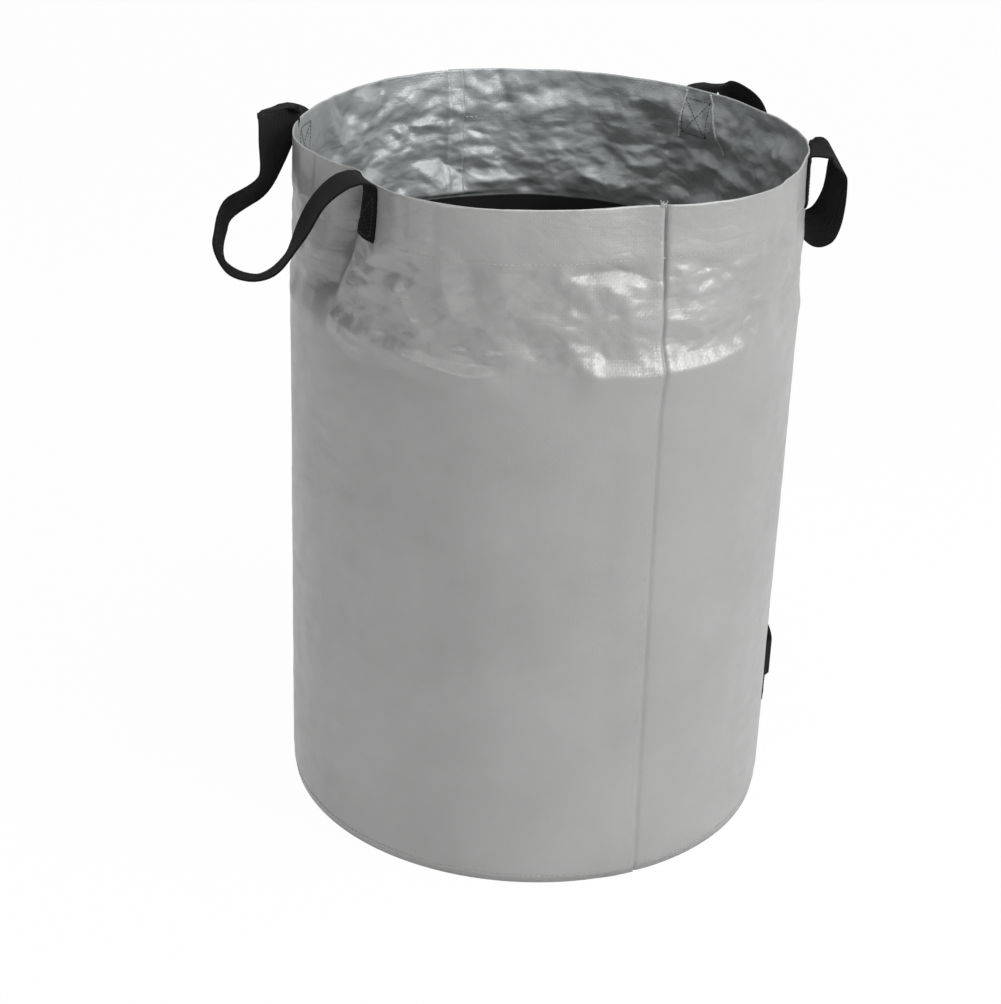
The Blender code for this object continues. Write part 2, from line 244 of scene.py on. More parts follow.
def plain_thread(name, colour):
    finish, tree, shader = new_finish(name)
    place = add_node(tree, "TexCoord").outputs["Object"]
    twist = add_node(tree, "TexNoise", {}, Vector=place, Scale=1500.0, Detail=2.0).outputs[0]
    tree.links.new(bump(tree, twist, 0.0002, 0.5), shader.inputs["Normal"])
    worn = remap(tree, twist, 0.3, 0.7, 0.0, 1.0)
    dark = tuple(part * 0.7 for part in colour)
    mixed = add_node(tree, "Mix", {"data_type": "RGBA"}, i0=worn, i6=(*dark, 1.0), i7=(*colour, 1.0))
    tree.links.new(mixed.outputs[2], shader.inputs["Base Color"])
    shader.inputs["Roughness"].default_value = 0.6
    return finish


def stiff_plastic():
    finish, tree, shader = new_finish("black_stiff_plastic")
    place = add_node(tree, "TexCoord").outputs["Object"]
    grain = add_node(tree, "TexNoise", {}, Vector=place, Scale=260.0, Detail=4.0).outputs[0]
    scuffs = add_node(tree, "TexNoise", {}, Vector=place, Scale=16.0, Detail=6.0).outputs[0]
    tree.links.new(bump(tree, grain, 0.0003, 0.35), shader.inputs["Normal"])
    worn = remap(tree, scuffs, 0.35, 0.70, 0.0, 1.0)
    mixed = add_node(tree, "Mix", {"data_type": "RGBA"}, i0=worn,
                     i6=(0.006, 0.006, 0.006, 1.0), i7=(0.014, 0.014, 0.014, 1.0))
    tree.links.new(mixed.outputs[2], shader.inputs["Base Color"])
    shader.inputs["Specular IOR Level"].default_value = 0.25
    rough = remap(tree, scuffs, 0.3, 0.7, 0.45, 0.62)
    tree.links.new(rough, shader.inputs["Roughness"])
    return finish


webbing = black_webbing()
grey_thread = plain_thread("grey_thread", (0.52, 0.53, 0.52))
black_thread = plain_thread("black_thread", (0.030, 0.030, 0.032))
liner_plastic = stiff_plastic()
print("webbing ribs", RIB * 1000, "mm")

# %% [markdown]
# ## The wall's outline
# The empty rim isn't a true circle: it sags in beside the left handle and at the front seam.
# A soft average over a few measured radii gives that outline. Below the liner's top
# edge the cloth lies round on the stiff liner.

# %% Outline
BAG_HEIGHT = 0.633
BODY_RADIUS = 0.229
BASE_RADIUS = 0.227
BASE_CURVE = 0.020
LEDGE = 0.508
HEM_END = 0.583
RIM_RADII = (
    (-176, 224), (-163, 231), (-152, 233), (-140, 230), (-127, 226), (-116, 223), (-105, 222),
    (-94, 224), (-84, 226), (-75, 225), (-67, 219), (-60, 214), (-52, 209), (-44, 214),
    (-37, 223), (-30, 230), (-21, 231), (-12, 229), (-4, 224), (4, 220), (12, 216), (20, 211),
    (27, 218), (34, 224), (44, 230), (54, 230), (65, 226), (76, 224), (88, 226), (98, 226),
    (108, 223), (120, 221), (134, 222), (147, 223), (158, 221), (169, 225), (178, 226),
)
rim_known = {}


def rim_radius(angle):
    key = round(angle % 360.0, 3)
    if key not in rim_known:
        weights = [(hill(turned_from(key, at), 6.0), radius) for at, radius in RIM_RADII]
        rim_known[key] = sum(w * r for w, r in weights) / sum(w for w, r in weights) / 1000.0
    return rim_known[key]


def wall_radius(angle, height):
    low = BASE_RADIUS + (BODY_RADIUS - BASE_RADIUS) * smooth_share(height / BASE_CURVE)
    share = smooth_share((height - LEDGE) / (BAG_HEIGHT - LEDGE))
    return low + (rim_radius(angle) - low) * share


def liner_radius(angle):
    """The stiff liner stays clear of the hem's folds, so that it can be lifted out."""
    folds = ((-52.0, 0.019, 12.0), (17.0, 0.014, 13.0), (115.0, 0.005, 20.0), (-108.0, 0.006, 12.0))
    past_hem = 0.2275 - 0.0024 - sum(d * hill(turned_from(angle, m), s) for m, d, s in folds)
    return min(past_hem, 0.2243) - 0.0014


print("rim radius from", round(min(rim_radius(a) for a in range(360)) * 1000), "to",
      round(max(rim_radius(a) for a in range(360)) * 1000), "mm")

# %% [markdown]
# ## Creases
# Above the liner the cloth slumps over the liner's edge and crumples. A cloth simulation
# could make creases, but not these ones. So the longest creases and hollows are listed,
# as lines of angle and height. A net of small flat facets fills in between them,
# because coated cloth is stiff: it breaks into flat pieces with sharp lines between.

# %% Listed creases
# A crease: its line, how far it stands out, and the widths of its two flanks. The first flank
# lies on the left of the line, seen from outside, on the way from its first point to its last.
FRONT_SEAM = 26.0
CREASES = (
    (((6.0, 0.498), (12.5, 0.496), (23.0, 0.494), (35.5, 0.496), (44.0, 0.501), (51.0, 0.508)),
     0.0052, 0.018, 0.034),
    (((3.5, 0.509), (7.5, 0.517), (16.5, 0.524)), 0.0018, 0.006, 0.012),
    (((43.0, 0.515), (48.0, 0.523)), 0.0014, 0.005, 0.007),
    (((2.0, 0.588), (6.0, 0.573), (14.0, 0.570), (24.0, 0.568)), 0.0024, 0.009, 0.022),
    (((22.0, 0.565), (29.0, 0.572), (39.0, 0.574)), 0.0011, 0.004, 0.008),
    (((29.0, 0.553), (37.0, 0.563), (46.0, 0.574), (54.0, 0.584)), 0.0036, 0.016, 0.034),
    (((-38.3, 0.500), (-38.2, 0.545), (-38.0, 0.590)), 0.0026, 0.022, 0.010),
    (((-33.5, 0.556), (-30.0, 0.541), (-24.0, 0.512)), 0.0026, 0.011, 0.026),
    (((-53.0, 0.516), (-47.0, 0.508), (-38.0, 0.502)), 0.0048, 0.009, 0.018),
    (((-40.0, 0.505), (-31.0, 0.500), (-24.0, 0.494), (-15.0, 0.490), (-6.0, 0.494)), 0.0046, 0.009, 0.020),
    (((-43.8, 0.500), (-43.2, 0.530), (-41.5, 0.556)), 0.0018, 0.005, 0.006),
    (((-48.5, 0.502), (-45.0, 0.494), (-40.0, 0.492)), 0.0022, 0.008, 0.015),
    (((-28.0, 0.604), (-20.0, 0.592), (-14.0, 0.570)), 0.0012, 0.008, 0.012),
    (((-5.0, 0.545), (4.0, 0.541), (13.0, 0.546)), 0.0011, 0.006, 0.012),
    (((226.5, 0.590), (226.0, 0.612), (226.0, 0.633)), 0.0034, 0.006, 0.018),
    (((191.0, 0.596), (192.0, 0.614), (194.0, 0.633)), 0.0036, 0.007, 0.022),
    (((178.0, 0.612), (184.0, 0.606), (191.0, 0.612)), 0.0020, 0.010, 0.006),
    (((150.0, 0.576), (146.0, 0.576), (140.0, 0.567), (132.0, 0.560), (124.0, 0.553)),
     -0.0042, 0.022, 0.012),
    (((171.0, 0.575), (165.0, 0.556), (160.0, 0.543), (152.0, 0.530)), 0.0036, 0.014, 0.020),
    (((213.0, 0.590), (206.0, 0.597), (199.0, 0.590)), -0.0030, 0.010, 0.014),
    (((222.0, 0.575), (216.0, 0.583), (208.0, 0.580)), -0.0024, 0.008, 0.012),
    (((176.0, 0.556), (184.0, 0.549), (193.0, 0.556)), -0.0026, 0.012, 0.016),
    (((172.0, 0.533), (166.0, 0.524), (160.0, 0.527)), -0.0034, 0.010, 0.010),
    (((203.0, 0.535), (198.0, 0.524), (189.0, 0.522), (181.0, 0.530)), -0.0030, 0.010, 0.012),
)
# A hollow: its line, how far it stands out, and its soft width
HOLLOWS = (
    (((-50.0, 0.616), (-50.5, 0.595), (-51.5, 0.572), (-54.0, 0.548), (-56.5, 0.530)), -0.0135, 0.0160),
    (((-52.5, 0.615), (-53.5, 0.590), (-54.0, 0.570)), -0.0045, 0.0130),
    (((-66.5, 0.628), (-67.5, 0.585), (-68.0, 0.550)), -0.0018, 0.0060),
    (((-72.0, 0.620), (-73.0, 0.560), (-74.0, 0.500)), 0.0014, 0.0080),
    (((-30.5, 0.625), (-30.0, 0.590), (-29.5, 0.560)), -0.0011, 0.0050),
    (((-23.0, 0.625), (-23.0, 0.585)), -0.0010, 0.0045),
    (((139.0, 0.618), (138.5, 0.600)), 0.0016, 0.0060),
    (((156.0, 0.600), (150.0, 0.585), (146.0, 0.560)), 0.0040, 0.0150),
    (((168.0, 0.625), (160.0, 0.605)), 0.0022, 0.0120),
    (((236.0, 0.620), (240.0, 0.580), (238.0, 0.545)), 0.0030, 0.0140),
)


UNROLLED_MIDDLE = 81.7


def on_sheet(angle, height):
    """A place on the unrolled wall, which is cut open behind the left handle's rear end."""
    return Vector((math.radians(turned_from(angle, UNROLLED_MIDDLE)) * BODY_RADIUS, height))


def laid_out(lines):
    """Each line on the unrolled wall with the corners of its box and its own numbers."""
    places = []
    for line, *numbers in lines:
        points = [on_sheet(*point) for point in line]
        reach = 2.6 * max(numbers[1:])
        low = Vector((min(p.x for p in points) - reach, min(p.y for p in points) - reach))
        high = Vector((max(p.x for p in points) + reach, max(p.y for p in points) + reach))
        places.append((points, low, high, numbers))
    return places


CREASE_PLACES = laid_out(CREASES)
HOLLOW_PLACES = laid_out(HOLLOWS)


def near_line(spot, line):
    """How far the spot lies from a line, on which side, and how far along the nearest point is."""
    best = (1e9, 1.0, 0.0)
    for index, (a, b) in enumerate(zip(line, line[1:])):
        ahead = b - a
        share = min(max((spot - a).dot(ahead) / ahead.length_squared, 0.0), 1.0)
        side = ahead.x * (spot.y - a.y) - ahead.y * (spot.x - a.x)
        best = min(best, ((spot - a - ahead * share).length, side, (index + share) / (len(line) - 1)))
    return best


def placed_folds(angle, height):
    spot = on_sheet(angle, height)
    total = 0.0
    for line, low, high, (depth, left, right) in CREASE_PLACES:
        if low.x < spot.x < high.x and low.y < spot.y < high.y:
            away, side, along = near_line(spot, line)
            flank = 1.0 - away / (left if side > 0 else right)
            if flank > 0:
                total += depth * flank ** 1.3 * smooth_share(min(along, 1.0 - along) * 5 + 0.12)
    for line, low, high, (depth, width) in HOLLOW_PLACES:
        if low.x < spot.x < high.x and low.y < spot.y < high.y:
            away, side, along = near_line(spot, line)
            total += depth * hill(away, width)
    return total


# %% Crumpling
def facets(across, up, size, seed):
    """Height of a net of flat triangles with creases between them, from -0.5 to 0.5."""
    wander = noise.noise_vector(Vector((across, up, seed * size)) / (size * 2.2)) * 0.5
    x = across / size + wander.x
    y = up / size + wander.y
    skew = (x + y) * 0.366
    column = math.floor(x + skew)
    row = math.floor(y + skew)
    u = x + skew - column
    v = y + skew - row
    spot = Vector((column + 0.5, row + 0.5, seed + 0.5))
    first = noise.cell(spot)
    last = noise.cell(spot + Vector((1, 1, 0)))
    if u > v:
        return first * (1 - u) + noise.cell(spot + Vector((1, 0, 0))) * (u - v) + last * v - 0.5
    return first * (1 - v) + noise.cell(spot + Vector((0, 1, 0))) * (v - u) + last * u - 0.5


def crumple(angle, height):
    """How far the cloth stands out from its round outline, in metres."""
    turned = turned_from(angle, UNROLLED_MIDDLE)
    across = math.radians(turned) * BODY_RADIUS
    joined = smooth_share((180.0 - abs(turned)) / 6.0)
    back = smooth_share((92.0 - abs(turned_from(angle, 172.0))) / 30.0)
    left = smooth_share((38.0 - abs(turned_from(angle, -82.0))) / 12.0)
    loose = smooth_share((height - 0.486) / 0.028) * joined
    loose *= 1.0 - 0.6 * hill(turned_from(angle, FRONT_SEAM - 1.0), 3.5)
    loose *= 1.0 - 0.6 * hill(turned_from(angle, 84.0), 22.0) - 0.35 * left
    stiff_hem = 1.0 - 0.80 * smooth_share((height - 0.578) / 0.016)
    stiff_rim = 1.0 - 0.60 * smooth_share((height - 0.606) / 0.026)
    loose *= stiff_hem + (stiff_rim - stiff_hem) * back
    up = (height - 0.56) * (1.6 - 0.2 * back - 1.1 * left)
    large = facets(across, up, 0.040, 1.0) * (0.0042 + 0.0016 * back)
    small = facets(across + 0.3, up, 0.0150, 4.0) * (0.0012 + 0.0005 * back)
    tiny = facets(across + 0.7, up, 0.0070, 9.0) * (0.0004 + 0.0003 * back)
    low = direction(angle) * BODY_RADIUS + UP * height * 0.3
    calm = noise.noise(low / 0.075) * 0.0010 + noise.noise(low / 0.022) * 0.0004
    calm += noise.noise(Vector((across + 0.6 * height, height * 2.4, 5.0)) / 0.026) * 0.0003 * joined
    swell = 0.55 + 0.45 * noise.noise(direction(angle) * 6.0)
    slump = 0.0024 * swell * hill(height - 0.500, 0.0100) - 0.0012 * hill(height - 0.522, 0.0110)
    pleats = noise.noise(Vector((across / 0.0042, 3.1, 7.7))) * 0.0006 * hill(height - 0.504, 0.0090)
    return (large + small + tiny) * loose + calm * smooth_share(height / 0.03) + slump + pleats * joined


def cloth_place(angle, height, out=0.0):
    radius = wall_radius(angle, height) + crumple(angle, height) + placed_folds(angle, height)
    if height < 0.5105:
        radius = max(radius, liner_radius(angle) + 0.0018)
    return direction(angle) * (radius + out) + UP * height


print("crumpling at the front seam, mm:",
      [round(crumple(FRONT_SEAM, 0.48 + 0.02 * step) * 1000, 1) for step in range(8)])

# %% [markdown]
# ## Wall cloth
# Each half of the wall is one sheet. Its section, from the base up over the rim and down
# inside the hem, is spun half way round, and then every point moves out to the crumpled
# outline. Its last edge lies over the next sheet, which makes the seam, and the sheet below
# dips beside that edge. Solidify gives the sheet its thickness.

# %% Wall cloth
CLOTH = 0.0006
LAP = 5.0
HEM_GAP = 0.0010
HEM_FOLD = ((0.6324, 0.0001), (0.6329, 0.5 * HEM_GAP), (0.6324, 0.9 * HEM_GAP))
LEVELS = [0.0008 + (0.470 - 0.0008) * step / 44 for step in range(44)]
LEVELS += [0.470 + (0.6312 - 0.470) * step / 84 for step in range(85)]


def seam_lean(angle, height):
    """The front seam leans: lower down it lies a little further to the right."""
    return (1.6 * (1.0 - height / BAG_HEIGHT) ** 2 - 0.4) * hill(turned_from(angle, FRONT_SEAM), 50.0)


def cloth_section():
    points = [(level, 0.0) for level in LEVELS] + list(HEM_FOLD)
    points += [(0.6312 - (0.6312 - HEM_END) * step / 18, HEM_GAP) for step in range(19)]
    return points + [(HEM_END - 0.0003, HEM_GAP)]


def gathered(turned):
    """Draws the columns together round the seam, where the dip needs them."""
    return turned - 1.3 * math.tanh((turned - LAP) / 2.0) + 1.3 * smooth_share((turned - 20.0) / 40.0)


def wall_cloth(name, seam):
    section = cloth_section()
    start = seam - LAP
    sweep = 180.0 + LAP
    steps = round(sweep / 0.62)
    shape = bmesh.new()
    corners = [shape.verts.new(direction(start) * (1.0 - inset) + UP * height) for height, inset in section]
    edges = [shape.edges.new(pair) for pair in zip(corners, corners[1:])]
    bmesh.ops.spin(shape, geom=corners + edges, cent=(0, 0, 0), axis=UP, angle=math.radians(sweep),
                   steps=steps)
    lengths = {}
    run = 0.0
    for (height, inset), (before, tuck) in zip(section, [section[0]] + section[:-1]):
        run += math.hypot(height - before, inset - tuck)
        lengths[(round(height, 5), round(inset, 4))] = run
    for face in shape.faces:
        if all(vertex.co.xy.length < 1.0 - 0.4 * HEM_GAP for vertex in face.verts):
            face.material_index = 1
    flat = shape.loops.layers.uv.new("cloth")
    laid = {}
    for vertex in shape.verts:
        turned = (math.degrees(math.atan2(vertex.co.x, -vertex.co.y)) - start + 1.0) % 360.0 - 1.0
        turned = gathered(turned)
        inset = 1.0 - math.hypot(vertex.co.x, vertex.co.y)
        height = vertex.co.z
        laid[vertex] = (math.radians(turned) * 0.229, lengths[(round(height, 5), round(inset, 4))])
        high = smooth_share((height - 0.42) / 0.16) if seam == FRONT_SEAM else 0.0
        over = smooth_share((turned - (sweep - LAP - 5.0)) / 5.0) * (0.0007 + 0.0008 * high)
        under = smooth_share(1.0 - (turned - LAP) / 5.0) * 0.0004
        dip = hill(turned - LAP - 0.35, 0.55) * (0.0009 + 0.0026 * high)
        tucked = inset
        if inset > 0.95 * HEM_GAP:
            tucked *= 1.0 - 0.95 * smooth_share((HEM_END + 0.014 - height) / 0.014)
        angle = start + turned
        angle += seam_lean(angle, height)
        vertex.co = cloth_place(angle, height, over - under - dip - tucked)
    for face in shape.faces:
        for loop in face.loops:
            loop[flat].uv = laid[loop.vert]
    shape.normal_update()
    lowest = min(shape.faces, key=lambda face: face.calc_center_median().z)
    if lowest.normal.xy.dot(lowest.calc_center_median().xy) < 0:
        bmesh.ops.reverse_faces(shape, faces=shape.faces)
    piece = add_piece(name, shape, (outer_cloth, inner_cloth, outer_cloth), outward=False)
    thick = piece.modifiers.new("thickness", "SOLIDIFY")
    thick.thickness = CLOTH
    thick.offset = 0.0
    thick.material_offset = 1
    thick.material_offset_rim = 0
    return piece


right_wall = wall_cloth("right_wall_cloth", FRONT_SEAM)
left_wall = wall_cloth("left_wall_cloth", FRONT_SEAM + 180.0)
for wall, node in ((right_wall, "wall_right_panel"), (left_wall, "wall_left_panel")):
    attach(wall, "bag")
    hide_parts(node)

# %% [markdown]
# ## Base
# The base is a round piece of the same cloth, sewn in with its edge turned up inside the
# wall. It is spun from a short line. The last few centimetres dip down to the seam.

# %% Base cloth
def base_cloth():
    shape = bmesh.new()
    reach = BASE_RADIUS - 0.0018
    section = [(reach * step / 24, 0.0016) for step in range(25)]
    section += [(reach, 0.0030), (reach, 0.0080), (reach, 0.0150)]
    corners = [shape.verts.new(direction(0) * max(away, 0.0) + UP * height) for away, height in section]
    edges = [shape.edges.new(pair) for pair in zip(corners, corners[1:])]
    bmesh.ops.spin(shape, geom=corners + edges, cent=(0, 0, 0), axis=UP, angle=math.tau, steps=120,
                   use_merge=True)
    bmesh.ops.remove_doubles(shape, verts=shape.verts, dist=1e-6)
    for vertex in shape.verts:
        away = vertex.co.xy.length
        rough = noise.noise(Vector((vertex.co.x, vertex.co.y, 3.0)) / 0.05) * 0.0016
        vertex.co.z += max(rough, -0.0004) * smooth_share((0.215 - away) / 0.05)
    flat = shape.loops.layers.uv.new("cloth")
    for face in shape.faces:
        for loop in face.loops:
            loop[flat].uv = loop.vert.co.xy
    bmesh.ops.recalc_face_normals(shape, faces=shape.faces)
    middle = min(shape.faces, key=lambda face: face.calc_center_median().xy.length)
    if middle.normal.z > 0:
        bmesh.ops.reverse_faces(shape, faces=shape.faces)
    piece = add_piece("base_cloth", shape, (outer_cloth, inner_cloth), outward=False)
    thick = piece.modifiers.new("thickness", "SOLIDIFY")
    thick.thickness = CLOTH
    thick.offset = 0.0
    thick.material_offset = 1
    return piece


base = base_cloth()
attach(base, "bag")
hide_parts("base_panel")

# %% [markdown]
# ## Liner
# The liner is a loose, stiff black sheet, rolled into a tube that props the wall up. Its
# second edge tucks inside the first. A line is extruded step by step round the bag, because
# a plain spin couldn't tuck the overlap in. Its rim is slightly wavy, as a cut edge is.

# %% Liner
LINER_THICK = 0.0008
LINER_START = 112.0
LINER_SWEEP = 384.0


def stiff_liner():
    shape = bmesh.new()
    heights = [0.0028, 0.12, 0.25, 0.38, 0.47, 0.503, 0.5068, 0.5076]
    corners = [shape.verts.new(direction(LINER_START) + UP * height) for height in heights]
    edges = [shape.edges.new(pair) for pair in zip(corners, corners[1:])]
    rows = [corners]
    steps = round(LINER_SWEEP / 2.0)
    for step in range(steps):
        grown = bmesh.ops.extrude_edge_only(shape, edges=edges)["geom"]
        edges = [item for item in grown if isinstance(item, bmesh.types.BMEdge)]
        rows.append([item for item in grown if isinstance(item, bmesh.types.BMVert)])
    for step, row in enumerate(rows):
        turned = LINER_SWEEP * step / steps
        tuck = smooth_share((turned - 352.0) / 8.0) * (LINER_THICK + 0.0006)
        angle = LINER_START + turned
        low_cut = 0.006 * hill(turned_from(angle, 150.0), 14.0) + 0.0012 * noise.noise(direction(angle) * 5.0)
        for vertex in row:
            wavy = noise.noise(direction(angle) * 9.0 + UP * vertex.co.z * 6.0) * 0.0004
            cut = low_cut * smooth_share((vertex.co.z - 0.47) / 0.03)
            vertex.co = direction(angle) * (liner_radius(angle) - tuck + wavy) + UP * (vertex.co.z - cut)
    shape.normal_update()
    lowest = min(shape.faces, key=lambda face: face.calc_center_median().z)
    if lowest.normal.xy.dot(lowest.calc_center_median().xy) < 0:
        bmesh.ops.reverse_faces(shape, faces=shape.faces)
    piece = add_piece("stiff_liner", shape, (liner_plastic,), outward=False)
    thick = piece.modifiers.new("thickness", "SOLIDIFY")
    thick.thickness = LINER_THICK
    thick.offset = 0.0
    return piece


liner = stiff_liner()
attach(liner, "liner")
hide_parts("liner_sheet")

# %% [markdown]
# ## Top handles
# Each handle is one strap: sewn flat to the outside of the wall, folded out over the rim,
# hanging in a loop and sewn on again. A curve with a flat profile would twist by itself, so
# the strap is a line across its width that is extruded row by row along a listed route,
# with a lean for each place. The routes follow the solids' ones, and lie nearer to the photo
# where a strap leaves the rim, because cloth webbing needs no straight hinge line.

# %% Routes
WEB_WIDTH = 0.038
WEB_THICK = 0.0017
LEFT_ENDS = (-43.5, -98.3)
RIGHT_ENDS = (86.0, 141.0)
LEFT_ROUTE = (
    (0.000, 0.000, -0.002), (0.000, 0.010, -0.005), (0.001, 0.026, -0.018), (0.007, 0.042, -0.047),
    (0.024, 0.057, -0.081), (0.055, 0.079, -0.098), (0.090, 0.093, -0.088), (0.118, 0.081, -0.064),
    (-0.060, 0.044, -0.0475), (-0.036, 0.0275, -0.0245), (-0.014, 0.0150, -0.001), (-0.006, 0.0135, 0.002),
    (-0.0001, -0.001, 0.001),
)
LEFT_LEAN = (
    (1.0, 0.0, 0.0), (1.0, 0.0, 0.0), (1.0, -0.05, 0.0), (0.95, -0.2, 0.2), (0.8, -0.5, 0.2),
    (0.65, -0.7, -0.25), (0.75, -0.35, -0.55), (0.75, -0.4, -0.5), (0.78, -0.42, -0.47), (0.52, -0.74, -0.28),
    (0.1, -0.95, 0.22), (-0.6, -0.75, 0.25), (-0.99, -0.1, 0.0),
)
RIGHT_ROUTE = (
    (0.000, 0.001, -0.005), (0.001, 0.010, -0.009), (0.003, 0.020, -0.019), (0.007, 0.024, -0.036),
    (0.023, 0.031, -0.067), (0.045, 0.035, -0.091), (0.080, 0.038, -0.104), (-0.086, 0.040, -0.093),
    (-0.054, 0.040, -0.055), (-0.028, 0.035, -0.026), (-0.010, 0.022, -0.012), (-0.0001, 0.009, -0.002),
    (-0.0001, 0.000, -0.001),
)
RIGHT_LEAN = (
    (0.9, 0.3, 0.15), (0.8, 0.1, 0.4), (0.85, 0.05, 0.4), (0.95, 0.0, 0.3), (0.8, -0.1, 0.5),
    (0.5, -0.3, 0.8), (0.1, -0.4, 0.9), (-0.35, -0.4, 0.8), (-0.4, -0.3, 0.85), (-0.45, -0.15, 0.88),
    (-0.75, 0.1, 0.6), (-0.93, 0.0, 0.3), (-0.97, 0.0, 0.15),
)


def smooth_curve(points, values, count):
    """Samples of a curve through the values, timed by the points that they belong to."""
    spans = [(b - a).length ** 0.5 for a, b in zip(points, points[1:])]
    knots = [0.0]
    for span in spans:
        knots.append(knots[-1] + span)
    ahead = [values[0] * 2 - values[1]] + list(values) + [values[-1] * 2 - values[-2]]
    times = [-spans[0]] + knots + [knots[-1] + spans[-1]]
    samples = []
    for index in range(count):
        time = knots[-1] * index / (count - 1)
        part = max(i for i in range(len(spans)) if knots[i] <= time + 1e-9)
        p = ahead[part:part + 4]
        t = times[part:part + 4]
        a1 = p[0].lerp(p[1], (time - t[0]) / (t[1] - t[0]))
        a2 = p[1].lerp(p[2], (time - t[1]) / (t[2] - t[1]))
        a3 = p[2].lerp(p[3], (time - t[2]) / (t[3] - t[2]))
        b1 = a1.lerp(a2, (time - t[0]) / (t[2] - t[0]))
        b2 = a2.lerp(a3, (time - t[1]) / (t[3] - t[1]))
        samples.append(b1.lerp(b2, (time - t[1]) / (t[2] - t[1])))
    return samples


# %% Rows of a strap
ACROSS = [step / 4.0 - 1.0 for step in range(9)]
LOOP_ROWS = 88


def sewn_row(middle, order, height, out):
    """Points across a sewn end, lying on the cloth."""
    spread = math.degrees(WEB_WIDTH / 2 / wall_radius(middle, height))
    return [cloth_place(middle + order * share * spread, height, out) for share in ACROSS]


def over_the_rim(sewn, free, out, steps=6):
    """Rows that turn from the wall's top out to the free strap."""
    rows = []
    for step in range(1, steps):
        t = step / steps
        keep = (1 + 2 * t) * (1 - t) ** 2
        rise = t * (1 - t) ** 2
        turn = t * t * (t - 1)
        rows.append([a * keep + b * (1 - keep) + UP * rise * 0.016 + out * turn * 0.012
                     for a, b in zip(sewn, free)])
    return rows


def loop_rows(start, along, out, span, route, lean):
    """Points across the free strap. A route's negative first numbers count back from its far end."""
    places = [start + along * (far if far >= 0 else span + far) + out * away + UP * rise
              for far, away, rise in route]
    sides = [along * a + out * b + UP * c for a, b, c in lean]
    line = smooth_curve(places, places, LOOP_ROWS)
    sides = smooth_curve(places, sides, LOOP_ROWS)
    rows = []
    for index, place in enumerate(line):
        travel = (line[min(index + 1, LOOP_ROWS - 1)] - line[max(index - 1, 0)]).normalized()
        if index in (0, LOOP_ROWS - 1):
            travel = out if index == 0 else -out
        side = (sides[index] - travel * sides[index].dot(travel)).normalized()
        face = side.cross(travel).normalized()
        cup = 0.0011 * smooth_share(min(index, LOOP_ROWS - 1 - index) / 14.0)
        wave = noise.noise(place * 40.0) * 0.0006
        rows.append([place + side * share * WEB_WIDTH / 2 + face * (cup * share * share + wave * share)
                     for share in ACROSS])
    return rows


# %% Build a strap from its rows
def strap_piece(name, rows, finishes):
    """Extrude a line across the strap row by row and move each new row into place."""
    shape = bmesh.new()
    corners = [shape.verts.new(place) for place in rows[0]]
    edges = [shape.edges.new(pair) for pair in zip(corners, corners[1:])]
    made = [corners]
    for row in rows[1:]:
        grown = bmesh.ops.extrude_edge_only(shape, edges=edges)["geom"]
        edges = [item for item in grown if isinstance(item, bmesh.types.BMEdge)
                 and all(v in grown for v in item.verts)]
        fresh = [item for item in grown if isinstance(item, bmesh.types.BMVert)]
        ordered = []
        for old in made[-1]:
            ordered.append(next(e.other_vert(old) for e in old.link_edges if e.other_vert(old) in fresh))
        for vertex, place in zip(ordered, row):
            vertex.co = place
        edges = [next(e for e in a.link_edges if e.other_vert(a) is b) for a, b in zip(ordered, ordered[1:])]
        made.append(ordered)
    flat = shape.loops.layers.uv.new("cloth")
    laid = {}
    run = 0.0
    for index, row in enumerate(made):
        if index:
            run += (row[4].co - made[index - 1][4].co).length
        for share, vertex in zip(ACROSS, row):
            laid[vertex] = (share * WEB_WIDTH / 2, run)
    for face in shape.faces:
        for loop in face.loops:
            loop[flat].uv = laid[loop.vert]
    piece = add_piece(name, shape, finishes, outward=False)
    thick = piece.modifiers.new("thickness", "SOLIDIFY")
    thick.thickness = WEB_THICK
    thick.offset = 0.0
    edge = piece.modifiers.new("soft edge", "BEVEL")
    edge.width = 0.0005
    edge.segments = 2
    edge.limit_method = "ANGLE"
    print(name, "is", round(run, 3), "m long")
    return piece


SEWN_LOWEST = 0.585
SEWN_LEVELS = [SEWN_LOWEST + (0.629 - SEWN_LOWEST) * step / 11 for step in range(12)]


def top_strap(name, joint, sign, span, ends, route, lean):
    start = Vector(HINGES[joint]["pos_m"])
    along = Vector(HINGES[joint]["axis"]) * sign
    out = along.cross(UP).normalized()
    if out.dot(start) < 0:
        out = -out
    order = 1.0 if ends[1] > ends[0] else -1.0
    lain = WEB_THICK / 2 + CLOTH / 2 + 0.0002
    first = [sewn_row(ends[0], order, level, lain) for level in SEWN_LEVELS]
    last = [sewn_row(ends[1], -order, level, lain) for level in reversed(SEWN_LEVELS)]
    free = loop_rows(start, along, out, span, route, lean)
    rise = over_the_rim(first[-1], free[0], out)
    fall = list(reversed(over_the_rim(last[0], free[-1], out)))
    piece = strap_piece(name, first + rise + free + fall + last, (webbing,))
    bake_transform(piece)
    return piece


left_strap = top_strap("left_strap", "left_handle_swing", 1.0, 0.20327, LEFT_ENDS, LEFT_ROUTE, LEFT_LEAN)
right_strap = top_strap("right_strap", "right_handle_swing", -1.0, 0.2098, RIGHT_ENDS, RIGHT_ROUTE,
                        RIGHT_LEAN)
for strap, side in ((left_strap, "left"), (right_strap, "right")):
    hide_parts(side + "_handle_front_end", side + "_handle_loop", side + "_handle_rear_end")

# %% [markdown]
# ## Low handle
# Low on the right lies a shorter strap, standing on edge against the wall. It bows out
# between its sewn ends, so that fingers fit behind it when the bag is tipped out.

